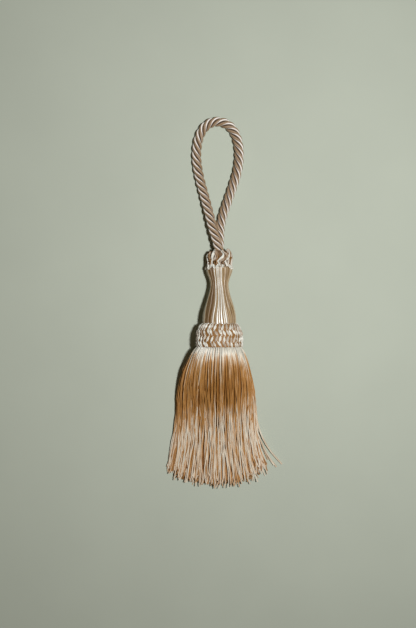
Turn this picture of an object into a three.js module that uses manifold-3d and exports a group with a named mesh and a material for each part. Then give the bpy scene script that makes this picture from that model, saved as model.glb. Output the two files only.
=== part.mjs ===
// A key tassel lying on a table: a hanging loop of laid cord, a small gathered crown, a baluster
// head covered with satin threads, a stitched collar, and a skirt of loose threads.
// Millimetres, +Z up. The origin is on the table under the middle of the collar, +Y runs along
// the tassel towards the loop and +X is to the right, seen from above with the loop at the top.
import * as THREE from "three";
import { mergeVertices } from "three/addons/utils/BufferGeometryUtils.js";
import Module from "manifold-3d";

// Driving dimensions.
const SEAT_GAP = 0.3; // between pieces that touch on the real tassel
const COLLAR_HEIGHT = 12.4; // of the collar's centre above the table, a little pressed down

// The head, from the shoulder in the collar to the flare under the crown, along its own axis
// from the middle of the collar.
const HEAD_PROFILE = [
  { along: 3.1, radius: 9.2 },
  { along: 8.7, radius: 9.3 },
  { along: 11.4, radius: 9.1 },
  { along: 15.8, radius: 8.1 },
  { along: 20.2, radius: 6.75 },
  { along: 24.7, radius: 5.55 },
  { along: 28.0, radius: 5.15 },
  { along: 31.0, radius: 5.65 },
  { along: 34.0, radius: 6.8 },
  { along: 36.4, radius: 7.35 },
  { along: 37.7, radius: 6.9 },
  { along: 38.2, radius: 5.6 },
];
const HEAD_RIBS = 24;
const HEAD_RIB_DEPTH = 0.4;
const FLARE = HEAD_PROFILE[9];

// The collar: a stitched band, closed round the head's shoulder and the skirt's heading.
const COLLAR_PROFILE = [
  { along: 3.1, radius: 11.5, stitched: false },
  { along: -6.1, radius: 11.5, stitched: false },
  { along: -6.4, radius: 12.6, stitched: true },
  { along: -5.0, radius: 13.45, stitched: true },
  { along: -3.2, radius: 13.5, stitched: true },
  { along: -1.4, radius: 13.4, stitched: true },
  { along: 0.4, radius: 13.2, stitched: true },
  { along: 2.2, radius: 12.8, stitched: true },
  { along: 4.0, radius: 12.1, stitched: true },
  { along: 5.6, radius: 11.0, stitched: true },
  { along: 6.3, radius: 10.1, stitched: false },
  { along: 5.9, radius: 9.6, stitched: false },
  { along: 3.1, radius: 9.6, stitched: false },
];
const COLLAR_STITCHES = 34; // round the band, in each row of stitches
const COLLAR_STITCH_DEPTH = 0.42;

// The crown: a gathered ring of gimp round the cord where it leaves the head.
const CROWN_PROFILE = [
  { along: 38.5, radius: 5.4 },
  { along: 38.5, radius: 5.9 },
  { along: 39.6, radius: 6.45 },
  { along: 42.2, radius: 6.55 },
  { along: 44.9, radius: 6.45 },
  { along: 46.6, radius: 5.95 },
  { along: 47.1, radius: 5.4 },
];
const CROWN_GATHERS = 9;
const CROWN_GATHER_DEPTH = 0.38;
const CROWN_BORE = 5.5; // points on this radius or less line the oblong way through

// The loop: one length of laid cord that leaves the crown, goes round and comes back into it.
const CORD_RADIUS = 2.5;
const CORD_GROOVE_RADIUS = 1.85;
const CORD_PLIES = 4;
const CORD_LAY = 16.5; // length of one full turn of a ply
const CORD_SIDES_PER_PLY = 3; // a groove and the two edges of a crest
const CORD_LEG_SPREAD = 2.55; // of each leg's centre from the crown's own axis
const CORD_ROUTE = [
  { x: 0.0, y: 38.6, z: 9.49 },
  { x: 0.0, y: 42.4, z: 8.95 },
  { x: -0.2, y: 46.9, z: 8.31 },
  { x: -1.8, y: 52.9, z: 7.42 },
  { x: -4.0, y: 60.2, z: 6.3 },
  { x: -6.0, y: 68.0, z: 5.2 },
  { x: -8.1, y: 75.8, z: 4.0 },
  { x: -10.2, y: 83.4, z: 3.0 },
  { x: -11.9, y: 91.1, z: 2.6 },
  { x: -12.6, y: 98.9, z: 2.52 },
  { x: -11.6, y: 107.0, z: 2.52 },
  { x: -8.8, y: 113.0, z: 2.52 },
  { x: -4.4, y: 116.3, z: 2.52 },
  { x: 0.4, y: 116.7, z: 2.52 },
  { x: 5.1, y: 114.7, z: 2.52 },
  { x: 8.6, y: 110.3, z: 2.52 },
  { x: 10.4, y: 104.2, z: 2.52 },
  { x: 10.8, y: 97.3, z: 2.52 },
  { x: 9.8, y: 89.6, z: 2.52 },
  { x: 7.4, y: 81.7, z: 2.52 },
  { x: 4.7, y: 73.9, z: 2.52 },
  { x: 2.3, y: 67.0, z: 2.52 },
  { x: 0.6, y: 60.2, z: 2.52 },
  { x: 0.1, y: 53.4, z: 2.58 },
  { x: 0.0, y: 47.2, z: 3.12 },
  { x: 0.0, y: 42.4, z: 3.8 },
  { x: 0.0, y: 37.8, z: 4.45 },
];

// The skirt: the heading under the collar, and the body that its threads fill, section by
// section. Lengths are down the table from the origin, and heights are above the table. A larger
// arch or base makes the body's upper or lower half squarer.
const HEADING_RADIUS = 11.2;
const HEADING_TOP = 2.8;
const HEADING_BOTTOM = -5.6;
const ROOT_RADIUS = 10.6; // of the ring of outer threads in the heading
const SKIRT_SECTIONS = [
  { down: 4.6, left: 10.6, right: 10.6, top: 23.6, widest: 13.1, low: 2.6, arch: 2.0, base: 2.0 },
  { down: 6.8, left: 11.1, right: 11.1, top: 24.4, widest: 13.3, low: 2.3, arch: 2.0, base: 2.0 },
  { down: 9.5, left: 14.6, right: 13.9, top: 25.0, widest: 12.4, low: 0.9, arch: 2.0, base: 2.2 },
  { down: 15.0, left: 18.0, right: 16.0, top: 24.2, widest: 10.4, low: 0.15, arch: 2.05, base: 2.6 },
  { down: 28.0, left: 22.9, right: 19.5, top: 19.2, widest: 6.0, low: 0.15, arch: 2.1, base: 4.0 },
  { down: 58.0, left: 26.4, right: 22.9, top: 7.7, widest: 1.9, low: 0.15, arch: 2.2, base: 6.0 },
  { down: 80.0, left: 30.5, right: 30.4, top: 5.0, widest: 1.2, low: 0.15, arch: 2.3, base: 8.0 },
  { down: 92.0, left: 31.4, right: 32.6, top: 4.5, widest: 1.1, low: 0.15, arch: 2.3, base: 8.0 },
];
// Each layer of threads is the outer one drawn in towards the middle of the body.
const SKIRT_LAYERS = [
  { strands: 116, rootInset: 0, widthShare: 1, heightShare: 1, reach: 90.2 },
  { strands: 64, rootInset: 2.3, widthShare: 0.8, heightShare: 0.5, reach: 89.4 },
];
const STRAND_DOWNS = [4.6, 6.8, 9.5, 15, 28, 58]; // where a strand's sections stand, but for its tip
const STRAND_STEPS = STRAND_DOWNS.length;
const STRAND_SHARE = 0.68; // a strand's width as a share of its room in the layer
const STRAND_MOST = 0.82; // its greatest width
const EDGE_SHORTENING = 9.5; // threads at the sides reach this much less far
const TIP_UNEVENNESS = 1.9;
const STRAY = { offset: 6.6, down: 78 }; // one thread whose tip springs out sideways

// The head leans down from its collar until the flare touches the table too.
const flareReach = Math.hypot(FLARE.radius, FLARE.along);
const flareAngle = Math.atan2(FLARE.radius, FLARE.along);
const LEAN = Math.asin(COLLAR_HEIGHT / flareReach) - flareAngle;

const materials = {
  cord: new THREE.MeshStandardMaterial({ color: 0xc9ad94, roughness: 0.42, metalness: 0 }),
  satin: new THREE.MeshStandardMaterial({ color: 0xd2b184, roughness: 0.35, metalness: 0 }),
  gimp: new THREE.MeshStandardMaterial({ color: 0xd6b88e, roughness: 0.45, metalness: 0 }),
  thread: new THREE.MeshStandardMaterial({ color: 0xc99a62, roughness: 0.4, metalness: 0 }),
};

// A closed three.js shape with its points moved by a function, as one watertight geometry.
function reshape(geometry, movePoint) {
  geometry.deleteAttribute("normal");
  geometry.deleteAttribute("uv");
  const merged = mergeVertices(geometry, 1e-4);
  const position = merged.getAttribute("position");
  const point = new THREE.Vector3();
  for (let i = 0; i < position.count; i++) {
    movePoint(point.fromBufferAttribute(position, i));
    position.setXYZ(i, point.x, point.y, point.z);
  }
  const corners = merged.index.array;
  const kept = [];
  for (let i = 0; i < corners.length; i += 3) {
    const [a, b, c] = corners.subarray(i, i + 3);
    if (a !== b && b !== c && c !== a) kept.push(a, b, c);
  }
  merged.setIndex(kept);
  return merged;
}

function repeatable(seed) {
  const wave = Math.sin(seed * 12.9898) * 43758.5453;
  return wave - Math.floor(wave);
}

// Moves a point of a piece on the head's axis up to the table, where it would reach below it.
function pressOnTable(point) {
  const table = (point.y * Math.sin(LEAN) - COLLAR_HEIGHT) / Math.cos(LEAN);
  point.z = Math.max(point.z, table);
}

function latheProfile(rows) {
  return rows.map((row) => new THREE.Vector2(row.radius, row.along));
}

// Which of so many equal steps round the axis a point stands on.
function stepRound(point, steps) {
  return Math.round((Math.atan2(point.x, point.z) / (2 * Math.PI)) * steps + steps) % steps;
}

function scaleRadius(point, radius) {
  const share = radius / Math.hypot(point.x, point.z);
  point.x *= share;
  point.z *= share;
}

function buildHead() {
  const first = HEAD_PROFILE[0];
  const last = HEAD_PROFILE[HEAD_PROFILE.length - 1];
  const profile = [
    new THREE.Vector2(0, first.along),
    ...latheProfile(HEAD_PROFILE),
    new THREE.Vector2(0, last.along),
  ];
  const steps = HEAD_RIBS * 2;
  const geometry = reshape(new THREE.LatheGeometry(profile, steps), (point) => {
    const radius = Math.hypot(point.x, point.z);
    const inFurrow = stepRound(point, steps) % 2 === 1;
    if (radius > 1 && inFurrow) scaleRadius(point, radius - HEAD_RIB_DEPTH);
    pressOnTable(point);
  });
  return new THREE.Mesh(geometry, materials.satin);
}

function buildCollar() {
  const profile = latheProfile([...COLLAR_PROFILE, COLLAR_PROFILE[0]]);
  const steps = COLLAR_STITCHES * 2;
  const geometry = reshape(new THREE.LatheGeometry(profile, steps), (point) => {
    const radius = Math.hypot(point.x, point.z);
    const row = COLLAR_PROFILE.findIndex(
      (r) => Math.hypot(r.along - point.y, r.radius - radius) < 0.01,
    );
    const sunk = (stepRound(point, steps) + row) % 2 === 1;
    if (COLLAR_PROFILE[row].stitched && sunk) scaleRadius(point, radius - COLLAR_STITCH_DEPTH);
    pressOnTable(point);
  });
  return new THREE.Mesh(geometry, materials.gimp);
}

// The radius of an oblong opening that just takes the cord's two legs, one over the other.
function oblongRadius(angle) {
  const halfWidth = CORD_RADIUS + SEAT_GAP;
  const across = Math.abs(Math.sin(angle));
  const upright = Math.abs(Math.cos(angle));
  if (upright * halfWidth < across * CORD_LEG_SPREAD) return halfWidth / across;
  const side = CORD_LEG_SPREAD * across;
  return CORD_LEG_SPREAD * upright + Math.sqrt(halfWidth ** 2 - side ** 2);
}

function buildCrown() {
  const profile = latheProfile([...CROWN_PROFILE, CROWN_PROFILE[0]]);
  const geometry = reshape(new THREE.LatheGeometry(profile, CROWN_GATHERS * 4), (point) => {
    const radius = Math.hypot(point.x, point.z);
    const angle = Math.atan2(point.x, point.z);
    const gather = CROWN_GATHER_DEPTH * Math.cos(CROWN_GATHERS * angle + 0.4);
    const lining = radius <= CROWN_BORE;
    scaleRadius(point, lining ? oblongRadius(angle) : radius + gather);
    pressOnTable(point);
  });
  return new THREE.Mesh(geometry, materials.gimp);
}

function buildLoop() {
  const stations = CORD_ROUTE.map((row) => new THREE.Vector3(row.x, row.y, row.z));
  const route = new THREE.CatmullRomCurve3(stations, false, "centripetal");
  route.arcLengthDivisions = 800;
  const length = route.getLength();
  const sides = CORD_PLIES * CORD_SIDES_PER_PLY;
  const steps = Math.round((length / CORD_LAY) * sides); // each ring turns by one side
  const up = new THREE.Vector3(0, 0, 1);
  const rings = Array.from({ length: steps + 1 }, (_, i) => {
    const centre = route.getPointAt(i / steps);
    const forward = route.getTangentAt(i / steps);
    const side = new THREE.Vector3().crossVectors(forward, up).normalize();
    const over = new THREE.Vector3().crossVectors(side, forward);
    return { centre, side, over };
  });
  const straight = new THREE.CylinderGeometry(1, 1, 1, sides, steps);
  const geometry = reshape(straight, (point) => {
    const ring = Math.round((point.y + 0.5) * steps);
    const { centre, side, over } = rings[ring];
    const onSurface = Math.hypot(point.x, point.z) > 0.5;
    const corner = stepRound(point, sides);
    const inGroove = corner % CORD_SIDES_PER_PLY === 0;
    const radius = !onSurface ? 0 : inGroove ? CORD_GROOVE_RADIUS : CORD_RADIUS;
    const angle = ((corner - ring) / sides) * 2 * Math.PI;
    point.copy(centre);
    point.addScaledVector(side, radius * Math.sin(angle));
    point.addScaledVector(over, radius * Math.cos(angle));
  });
  return new THREE.Mesh(geometry, materials.cord);
}

// The skirt's body at a distance down the table, between the rows of the table of sections.
function sectionAt(down) {
  const after = SKIRT_SECTIONS.findIndex((row) => row.down > down);
  const [a, b] = [SKIRT_SECTIONS[after - 1], SKIRT_SECTIONS[after]];
  const share = (down - a.down) / (b.down - a.down);
  const keys = Object.keys(a);
  return Object.fromEntries(keys.map((key) => [key, THREE.MathUtils.lerp(a[key], b[key], share)]));
}

// The closed outline of one layer in a section, as points from the top centre round by the
// right, the bottom and the left. The body is arched above its widest height and flatter below.
function layerOutline(section, layer, rootShare) {
  const points = 96;
  const atRoot = 1 - layer.rootInset / ROOT_RADIUS;
  const widthShare = THREE.MathUtils.lerp(layer.widthShare, atRoot, rootShare);
  const heightShare = THREE.MathUtils.lerp(layer.heightShare, atRoot, rootShare);
  const middle = (section.top + section.low) / 2;
  return Array.from({ length: points + 1 }, (_, i) => {
    const turn = (i / points) * 2 * Math.PI;
    const upperHalf = Math.cos(turn) > 0;
    const power = 2 / (upperHalf ? section.arch : section.base);
    const across = Math.sign(Math.sin(turn)) * Math.abs(Math.sin(turn)) ** power;
    const upright = Math.abs(Math.cos(turn)) ** power;
    const farSide = upperHalf ? section.top : section.low;
    const height = THREE.MathUtils.lerp(section.widest, farSide, upright);
    const halfWidth = (across < 0 ? section.left : section.right) * widthShare;
    return new THREE.Vector2(across * halfWidth, middle + (height - middle) * heightShare);
  });
}

// The point a share of the way round an outline, and the room that one strand has there.
function alongOutline(outline, share, strands) {
  const lengths = [0];
  for (let i = 1; i < outline.length; i++) {
    lengths.push(lengths[i - 1] + outline[i].distanceTo(outline[i - 1]));
  }
  const total = lengths[lengths.length - 1];
  const wanted = share * total;
  const after = lengths.findIndex((length) => length > wanted);
  const part = (wanted - lengths[after - 1]) / (lengths[after] - lengths[after - 1]);
  const place = new THREE.Vector2().lerpVectors(outline[after - 1], outline[after], part);
  return { place, room: total / strands };
}

// One strand's centreline and widths. Near the heading its sections lean with the head.
function strandRings(layer, index) {
  const share = (index + 0.5) / layer.strands;
  const isStray = layer === SKIRT_LAYERS[0] && index === Math.round(layer.strands * 0.25);
  const nearTip = alongOutline(layerOutline(sectionAt(85), layer, 0), share, layer.strands);
  const sideways = (Math.abs(nearTip.place.x) / 31) ** 2.5;
  const unevenness = (repeatable(index + layer.strands) - 0.5) * TIP_UNEVENNESS;
  const reach = layer.reach - EDGE_SHORTENING * sideways + unevenness;
  const downs = [...STRAND_DOWNS, isStray ? STRAY.down : reach];
  return downs.map((down, step) => {
    const rootShare = THREE.MathUtils.clamp(1 - (down - downs[0]) / 26, 0, 1) ** 2;
    const outline = layerOutline(sectionAt(down), layer, rootShare);
    const { place, room } = alongOutline(outline, share, layer.strands);
    const lean = rootShare * Math.tan(LEAN) * (place.y - COLLAR_HEIGHT);
    const aside = isStray && step === STRAND_STEPS ? STRAY.offset : 0;
    const centre = new THREE.Vector3(place.x + aside, -down + lean, place.y);
    return { centre, width: Math.min(STRAND_MOST, room * STRAND_SHARE) };
  });
}

// A three-sided strand that lies on its flat side, with its ridge up.
function buildStrand(rings) {
  const straight = new THREE.CylinderGeometry(1, 1, 1, 3, STRAND_STEPS);
  const up = new THREE.Vector3(0, 0, 1);
  return reshape(straight, (point) => {
    const step = Math.round((point.y + 0.5) * STRAND_STEPS);
    const before = rings[Math.max(0, step - 1)].centre;
    const after = rings[Math.min(STRAND_STEPS, step + 1)].centre;
    const forward = new THREE.Vector3().subVectors(after, before).normalize();
    const side = new THREE.Vector3().crossVectors(forward, up).normalize();
    const over = new THREE.Vector3().crossVectors(side, forward);
    const { centre, width } = rings[step];
    const across = (point.x * width) / Math.sqrt(3);
    const upright = ((point.z + 0.5) * width) / 2;
    point.copy(centre).addScaledVector(side, across).addScaledVector(over, upright);
    point.z = Math.max(0, point.z - width / 4);
  });
}

const wasm = await Module();
wasm.setup();

function toSolid(geometry) {
  const mesh = new wasm.Mesh({
    numProp: 3,
    vertProperties: new Float32Array(geometry.getAttribute("position").array),
    triVerts: new Uint32Array(geometry.index.array),
  });
  return new wasm.Manifold(mesh);
}

function toGeometry(solid) {
  const mesh = solid.getMesh();
  const geometry = new THREE.BufferGeometry();
  geometry.setAttribute("position", new THREE.BufferAttribute(mesh.vertProperties, 3));
  geometry.setIndex(new THREE.BufferAttribute(mesh.triVerts, 1));
  return geometry;
}

// The heading is a drum on the head's axis, made in the table's frame because the threads are.
function buildHeading() {
  const length = HEADING_TOP - HEADING_BOTTOM;
  const drum = new THREE.CylinderGeometry(HEADING_RADIUS, HEADING_RADIUS, length, 60);
  drum.translate(0, (HEADING_TOP + HEADING_BOTTOM) / 2, 0);
  drum.rotateX(-LEAN);
  drum.translate(0, 0, COLLAR_HEIGHT);
  return reshape(drum, () => {});
}

function buildSkirt() {
  let solid = toSolid(buildHeading());
  for (const layer of SKIRT_LAYERS) {
    for (let index = 0; index < layer.strands; index++) {
      solid = solid.add(toSolid(buildStrand(strandRings(layer, index))));
    }
  }
  return new THREE.Mesh(toGeometry(solid), materials.thread);
}

const headAxis = new THREE.Group();
headAxis.position.set(0, 0, COLLAR_HEIGHT);
headAxis.rotation.set(-LEAN, 0, 0);
const onAxis = { head: buildHead(), collar: buildCollar(), crown: buildCrown() };
for (const [name, mesh] of Object.entries(onAxis)) {
  mesh.name = name;
  headAxis.add(mesh);
}

const loop = buildLoop();
loop.name = "loop_cord";
const skirt = buildSkirt();
skirt.name = "skirt";

const tassel = new THREE.Group();
tassel.add(headAxis, loop, skirt);

export default tassel;
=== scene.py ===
"""Dresses a key tassel lying on a table: its laid cord, gathered crown, threaded head, stitched
collar and loose threads, with a plain stage. Metres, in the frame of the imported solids."""

import math

import bpy
import numpy as np
from bpy.props import FloatProperty, FloatVectorProperty, IntProperty, PointerProperty
from mathutils import Matrix, Vector


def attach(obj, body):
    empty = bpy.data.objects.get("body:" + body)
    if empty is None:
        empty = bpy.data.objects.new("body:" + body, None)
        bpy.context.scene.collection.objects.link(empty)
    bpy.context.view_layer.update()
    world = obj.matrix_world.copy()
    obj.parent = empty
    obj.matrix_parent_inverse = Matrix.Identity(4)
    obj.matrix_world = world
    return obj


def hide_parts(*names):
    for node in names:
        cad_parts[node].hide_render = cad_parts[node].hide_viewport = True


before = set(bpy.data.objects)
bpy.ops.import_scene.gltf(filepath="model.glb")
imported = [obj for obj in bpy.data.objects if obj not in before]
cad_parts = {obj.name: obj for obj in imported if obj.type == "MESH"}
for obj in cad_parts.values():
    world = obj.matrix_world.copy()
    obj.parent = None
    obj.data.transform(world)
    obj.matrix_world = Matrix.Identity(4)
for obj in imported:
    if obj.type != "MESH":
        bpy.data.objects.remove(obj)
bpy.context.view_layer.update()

bl_info = {
    "name": "Key tassel",
    "version": (1, 0, 0),
    "blender": (4, 5, 0),
    "location": "3D View > Sidebar > Tassel",
    "description": "Makes the cord, crown, head, collar and threads of a key tassel",
    "category": "Object",
}

MM = 0.001
FULL_TURN = 2 * math.pi
# Metres: the lowest that any point lies over the table.
TABLE_GAP = 0.00002
# How far a thread's streaks and twist are moved on its map from those of the thread before it.
MAP_STEP = 0.37

# Metres: the height of the floor. Its mottle: the darkest and the lightest shares of its colour.
FLOOR_HEIGHT = -0.00005
FLOOR_MOTTLE = (0.95, 1.06)
# Metres and degrees: where the camera stands, and how far it tilts.
CAMERA_PLACE = (-0.0063, 0.0773, 0.4904)
CAMERA_TILT = -7.8
# Each light's name, its place and size in metres, its power in watts and its colour.
WARM_LIGHT = (1, 0.76, 0.46)
STUDIO_LIGHTS = (
    ("stage_key", (0.105, 0.085, 0.475), 0.04, 2.35, (1, 1, 1)),
    ("stage_fill", (-0.2, -0.2, 0.9), 0.9, 0.27, WARM_LIGHT),
)
LIGHTS_AIM = (0, 0.01, 0.01)
ROOM_LIGHT = 0.04

# How far streaks of filament change a thread's tone, and the level and turn of its gloss.
STREAK_SHARE = 0.3
GLOSS_LEVEL = 0.8
GLOSS_TURN = 0.25
# Edges sharper than this stay sharp, on pieces made of tubes and on pieces spun round the head.
TUBE_EDGE = math.radians(62)
SPUN_EDGE = math.radians(75)

# The head's axis leans from the collar's centre down to the table.
COLLAR_HEIGHT = 12.4
FLARE_ALONG = 36.4
FLARE_RADIUS = 7.35
LEAN = math.asin(COLLAR_HEIGHT / math.hypot(FLARE_RADIUS, FLARE_ALONG)) - math.atan2(
    FLARE_RADIUS, FLARE_ALONG
)

# Millimetres: distance along the axis from the collar's centre, and radius.
HEAD_PROFILE = [
    (3.1, 9.2),
    (6.0, 9.32),
    (8.7, 9.3),
    (11.4, 9.1),
    (13.6, 8.68),
    (15.8, 8.1),
    (20.2, 6.75),
    (22.5, 6.08),
    (24.7, 5.55),
    (26.4, 5.25),
    (28.0, 5.15),
    (29.5, 5.28),
    (31.0, 5.65),
    (32.5, 6.2),
    (34.0, 6.8),
    (35.3, 7.2),
    (36.4, 7.35),
    (37.2, 7.22),
    (37.7, 6.85),
    (38.1, 5.8),
]
COLLAR_FACE = [
    (-6.4, 12.3),
    (-5.0, 12.6),
    (-3.2, 12.7),
    (-1.4, 12.6),
    (0.4, 12.4),
    (2.2, 12.0),
    (4.0, 11.3),
    (5.6, 10.4),
    (6.3, 9.7),
]
# The same: the collar's inner wall, before and after its face.
COLLAR_FOOT = [(3.1, 11.5), (-6.1, 11.5)]
COLLAR_TOP = [(5.9, 9.6), (3.1, 9.6)]
# The same: the ring under the crown's gathers.
CROWN_RING = [(38.5, 5.4), (38.5, 5.7), (40.0, 5.75), (44.0, 5.75), (46.3, 5.7), (46.6, 5.4)]
# Millimetres: the way through the ring takes both legs of the loop, one over the other. Points of
# the ring with less than this radius line it. Its half width, and half of how far the legs' middles
# are apart.
WAY_WITHIN = 5.5
WAY_HALF_WIDTH = 2.8
LEGS_HALF_APART = 2.55

# Millimetres: the middle line of the loop, from the upper leg round to the lower one.
CORD_ROUTE = [
    (0.0, 38.6, 9.49),
    (0.0, 42.4, 8.95),
    (-0.2, 46.9, 8.31),
    (-1.8, 52.9, 7.42),
    (-4.0, 60.2, 6.3),
    (-6.0, 68.0, 5.2),
    (-8.1, 75.8, 4.0),
    (-10.2, 83.4, 3.0),
    (-11.9, 91.1, 2.6),
    (-12.6, 98.9, 2.52),
    (-11.6, 107.0, 2.52),
    (-8.8, 113.0, 2.52),
    (-4.4, 116.3, 2.52),
    (0.4, 116.7, 2.52),
    (5.1, 114.7, 2.52),
    (8.6, 110.3, 2.52),
    (10.4, 104.2, 2.52),
    (10.8, 97.3, 2.52),
    (9.8, 89.6, 2.52),
    (7.4, 81.7, 2.52),
    (4.7, 73.9, 2.52),
    (2.3, 67.0, 2.52),
    (0.6, 60.2, 2.52),
    (0.1, 53.4, 2.58),
    (0.0, 47.2, 3.12),
    (0.0, 42.4, 3.8),
    (0.0, 37.8, 4.45),
]

# The share of a ply that its pale yarn takes up, and the tone of its other yarns.
PALE_YARN_SHARE = 0.37
SHADED_YARN_TONE = 0.5
# Where a ply's middle stands, as a share of the cord's radius.
PLY_MIDDLE = 0.6
# The seam between a ply's yarns: its width as a share of the ply, its depth as a share of the
# cord's radius, and how much of the tone it takes away, as painted shade in the seam.
SEAM_WIDTH = 0.05
SEAM_DEPTH = 0.06
SEAM_SHADE = 0.3
# The painted shade in the groove between plies: its share of a ply on each side, and the share
# that it fades over.
GROOVE_SHARE = 0.11
GROOVE_FADE = 0.08
# How much further the pale yarn reaches into the groove than the other yarns, as a share of a ply.
PALE_OVERHANG = 0.03

# Millimetres: sections of the skirt's body, down the table from the collar's centre. A larger
# arch or base makes the upper or lower half squarer.
SKIRT_COLUMNS = ("down", "left", "right", "top", "widest", "low", "arch", "base")
SKIRT_SECTIONS = [
    (4.6, 10.8, 10.8, 24.2, 13.1, 2.4, 2.0, 2.0),
    (6.2, 12.2, 12.0, 25.1, 13.2, 1.5, 2.0, 2.0),
    (8.0, 14.0, 13.4, 25.8, 12.7, 0.8, 2.0, 2.1),
    (10.5, 15.8, 14.6, 26.2, 12.0, 0.5, 2.0, 2.3),
    (13.2, 17.2, 15.5, 26.1, 11.1, 0.4, 2.05, 2.5),
    (16.0, 18.6, 16.4, 25.2, 10.1, 0.35, 2.05, 2.8),
    (20.0, 20.6, 17.5, 23.0, 8.6, 0.35, 2.05, 3.2),
    (28.0, 22.9, 19.5, 19.2, 6.0, 0.35, 2.1, 4.0),
    (40.0, 24.2, 21.2, 13.6, 3.6, 0.35, 2.15, 5.0),
    (50.0, 25.0, 22.0, 10.0, 2.4, 0.35, 2.2, 5.5),
    (58.0, 26.4, 22.4, 7.9, 1.9, 0.35, 2.2, 6.0),
    (70.0, 28.6, 24.6, 6.0, 1.5, 0.35, 2.25, 7.0),
    (80.0, 30.3, 27.4, 5.0, 1.2, 0.35, 2.3, 8.0),
    (93.0, 31.4, 29.6, 4.6, 1.1, 0.35, 2.3, 8.0),
]

# Angles round the head, 0 at its top and rising to the right, that part zones of its threads, and
# the tones that the bands of each zone are given, at random within a zone. The zones paint light:
# a painted highlight over the top, painted shade to the left of it, and painted light at the edges.
HEAD_ZONES = [-1.05, -0.42, 0.36, 0.6, 1.1]
HEAD_ZONE_LIGHT_TONES = [
    (0.6, 0.75, 0.9, 1.05),
    (0.0, 0.2, 0.5),
    (0.4, 0.95, 1.2, 1.4),
    (0.45, 0.6, 0.85),
    (0.3, 0.5, 0.7),
    (0.55, 0.7, 0.85, 1.05),
]
# Millimetres: the radius that the head's ends are closed down to, inside the crown and the collar.
HEAD_CORE = 1.0
# Bands of threads round the head. Millimetres: how far out of the profile a band stands, how far
# the lower bands lie under the highest, and how deep the grooves between bands and threads are.
HEAD_BANDS = 54
BAND_RISE = 0.16
BAND_SINKS = (0.0, 0.3)
BAND_GROOVE = 0.45
THREAD_GROOVE = 0.05
# Waves that the head's threads drift sideways in: how far in radians, how fast in radians for each
# mm along the head, and how many waves go round it.
HEAD_DRIFTS = [(0.07, 0.12, 2), (0.04, 0.3, -3)]
# How far in radians the threads lean sideways for each mm past this distance along the head.
HEAD_SLANT = 0.005
HEAD_SLANT_FROM = 20

# Millimetres: where the collar's first row of stitches begins, how tall all the rows are together,
# how far the last ones reach down, how far a stitch's ends lie in the band, how far its middle
# rises again, how far it strays along the head and how far the last row is tucked in.
STITCHES_TOP = 6.2
STITCHES_TALL = 12.8
STITCHES_END = -7.0
STITCH_SINK = 0.5
STITCH_RISES = (0.6, 0.82)
STITCH_STRAY = 0.5
LAST_ROW_TUCK = 0.5
# In widths of one stitch: how far a stitch slants, and how far it strays round the head.
STITCH_SLANTS = (0.24, 1.12)
STITCH_SHUFFLE = 0.27
# How much longer a stitch is than its row is tall.
STITCH_OVERLAP = 1.22
STITCH_TONES = (0.3, 1.2)

# Millimetres: the foot of the crown's gathers along the head, their tops, the one that is taller
# and how much, their radius at the foot, and how far they belly out and flare over the rim.
GATHER_FOOT = 38.0
GATHER_TOPS = (45.2, 46.6)
TALL_GATHER = 1
TALL_GATHER_MORE = 1.3
GATHER_RADIUS = 5.1
GATHER_BELLY = 1.75
GATHER_FLARE = 1.2
# A gather is a large loop with a small one in it. For each: its size and rise as shares of the
# large one's, how far in mm it is set in, and its tones: the small loop's are darker, painted shade
# for lying under the large one.
GATHER_LOOPS = ((1.0, 1.0, 0.0, (0.6, 0.85)), (0.5, 0.78, 0.1, (0.3, 0.6)))
# In widths of one gather: where the first one stands round the head, how far one strays, half the
# width of a large loop, and how far a loop sways.
FIRST_GATHER = 0.35
GATHER_SHUFFLE = 0.1
GATHER_HALF_WIDTHS = (0.29, 0.35)
GATHER_SWAY = 0.45

# Short stitches that hold the crown to the head's rim. Millimetres: where they begin along the
# head, how long they are, how far they lie in the face under them, and that face.
RIM_STITCHES = 16
RIM_STITCH_TOP = 38.9
RIM_STITCH_LENGTHS = (1.75, 2.875)
RIM_STITCH_SINK = 0.1
RIM_FACE_ALONG = [36.0, 37.0, 37.7, 38.3, 39.0]
RIM_FACE_RADIUS = [7.5, 7.45, 7.15, 6.8, 6.4]
# In widths of one rim stitch: how far one strays, and how far it slants.
RIM_SHUFFLE = 0.3
RIM_SLANTS = (-0.5, 0.9)
RIM_TONES = (0.8, 1.1)

# Millimetres down the table: where the threads leave the heading, and the body's last section.
HEADING_DOWN = SKIRT_SECTIONS[0][0]
LAST_DOWN = SKIRT_SECTIONS[-1][0]
# Millimetres down the table: how far on the threads still lean with the head.
LEANING_DOWN = 26
# In widths of one thread: how far threads stray round the heading.
THREAD_SHUFFLE = 0.42
# Parts of a thread's length at which its points stand: close together where it bends.
THREAD_PARTS = np.array([0, 0.02, 0.045, 0.075, 0.11, 0.15, *np.linspace(0.21, 0.965, 10), 1])
# The part of a thread's length that curls at its cut end, and how far in mm it curls to the sides
# and up or down.
CURLED_PART = 0.07
CURL_ACROSS = (-1.3, 1.3)
CURL_UP = (-0.9, 0.5)
# Millimetres down the table: where it is read how far to a side a thread ends.
LOW_DOWN = 88.0
# Millimetres down the table: the tips of the threads in the middle, and how uneven tips are.
TIPS_DOWN = 90.0
TIPS_UNEVEN = (-5.2, 1.4)
# Millimetres: how much shorter the threads are at this half width of the skirt, how much more at
# this one at the right, and how much for each mm that they lie deeper in the body.
SIDE_SHORTER = 9.0
SIDE_HALF_WIDTH = 31
RIGHT_SHORTER = 3.5
RIGHT_HALF_WIDTH = 24
DEEPER_SHORTER = 0.8
# Locks that the threads gather in, how strongly at the most, and how far a lock's middle is moved
# in lock widths. In shares of the way round: how far locks and single threads drift off, in the
# layer on top and in the deeper ones, and how far the threads wave.
SKIRT_LOCKS = 60
LOCK_HOLD = 0.3
LOCK_SHUFFLE = 0.3
LOCK_DRIFT = 0.007
TOP_DRIFT = 0.026
DEEPER_DRIFT = 0.008
THREAD_WANDER = 0.013
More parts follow.
